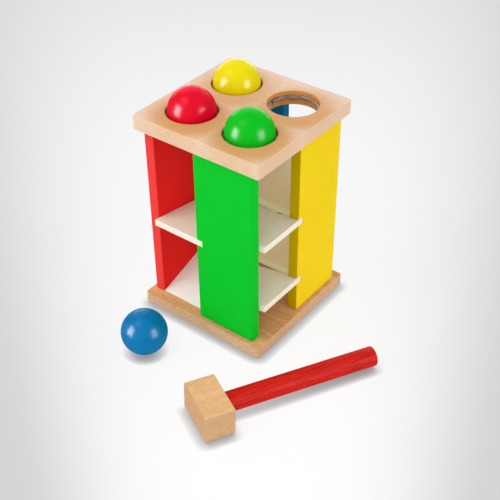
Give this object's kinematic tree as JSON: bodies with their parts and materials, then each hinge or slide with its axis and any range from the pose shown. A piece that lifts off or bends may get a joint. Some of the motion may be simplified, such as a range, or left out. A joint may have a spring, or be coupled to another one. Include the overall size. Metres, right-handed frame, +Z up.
{
  "type": "ball pounding tower",
  "caption": "Square wooden toy tower: balls are hammered through gripping holes in its top and roll down a winding stair of ramps between coloured panels; with a mallet.",
  "frame": {"origin": "centre of the base board's underside, which stands on the floor", "axes": "+Z up; the front face, with the exit ramp, looks along -Y; the right face looks along +X"},
  "size_m": [0.2464, 0.2609, 0.245],
  "materials": {
    "beech_base": "beech under clear lacquer, satin",
    "beech_top": "beech under clear lacquer, satin",
    "green_lacquer": "wood under satin green paint",
    "yellow_lacquer": "wood under satin yellow paint",
    "blue_lacquer": "wood under satin blue paint",
    "red_lacquer": "wood under satin red paint",
    "white_lacquer": "wood under satin white paint",
    "grip_plastic": "brownish translucent plastic, satin",
    "dowel_birch": "bare birch",
    "red_gloss": "wood under high-gloss red paint",
    "green_gloss": "wood under high-gloss green paint",
    "yellow_gloss": "wood under high-gloss yellow paint",
    "blue_gloss": "wood under high-gloss blue paint",
    "mallet_beech": "beech, unpainted, smooth sanded",
    "red_stain": "wood under red stain, grain showing"
  },
  "bodies": {
    "tower": {"base_board": "beech_base", "top_board": "beech_top", "front_panel": "green_lacquer", "right_panel": "yellow_lacquer", "back_panel": "blue_lacquer", "left_panel": "red_lacquer", "back_upper_ramp": "white_lacquer", "right_upper_ramp": "white_lacquer", "front_ramp": "white_lacquer", "left_ramp": "white_lacquer", "back_lower_ramp": "white_lacquer", "right_lower_ramp": "white_lacquer", "exit_ramp": "white_lacquer", "front_left_grip_ring": "grip_plastic", "front_right_grip_ring": "grip_plastic", "back_left_grip_ring": "grip_plastic", "back_right_grip_ring": "grip_plastic", "front_base_dowel_1": "dowel_birch", "front_base_dowel_2": "dowel_birch", "front_top_dowel_1": "dowel_birch", "front_top_dowel_2": "dowel_birch", "right_base_dowel_1": "dowel_birch", "right_base_dowel_2": "dowel_birch", "right_top_dowel_1": "dowel_birch", "right_top_dowel_2": "dowel_birch", "back_base_dowel_1": "dowel_birch", "back_base_dowel_2": "dowel_birch", "back_top_dowel_1": "dowel_birch", "back_top_dowel_2": "dowel_birch", "left_base_dowel_1": "dowel_birch", "left_base_dowel_2": "dowel_birch", "left_top_dowel_1": "dowel_birch", "left_top_dowel_2": "dowel_birch"},
    "red_ball": {"red_ball": "red_gloss"},
    "green_ball": {"green_ball": "green_gloss"},
    "yellow_ball": {"yellow_ball": "yellow_gloss"},
    "blue_ball": {"blue_ball": "blue_gloss"},
    "mallet": {"mallet_head": "mallet_beech", "mallet_handle": "red_stain"}
  },
  "joints": [
    {"name": "red_ball_drop", "type": "slide", "parent": "tower", "child": "red_ball", "axis": [0, 0, 1], "range_m": [-0.0953, 0.06], "deforming": ["front_left_grip_ring"]},
    {"name": "green_ball_drop", "type": "slide", "parent": "tower", "child": "green_ball", "axis": [0, 0, 1], "range_m": [-0.0788, 0.06], "deforming": ["front_right_grip_ring"]},
    {"name": "yellow_ball_drop", "type": "slide", "parent": "tower", "child": "yellow_ball", "axis": [0, 0, 1], "range_m": [-0.1162, 0.06], "deforming": ["back_left_grip_ring"]},
    {"name": "blue_ball_lift", "type": "slide", "parent": "tower", "child": "blue_ball", "axis": [0, 0, 1], "range_m": [0, 0.25]},
    {"name": "mallet_lift", "type": "slide", "parent": "tower", "child": "mallet", "axis": [0, 0, 1], "range_m": [0, 0.25]}
  ]
}
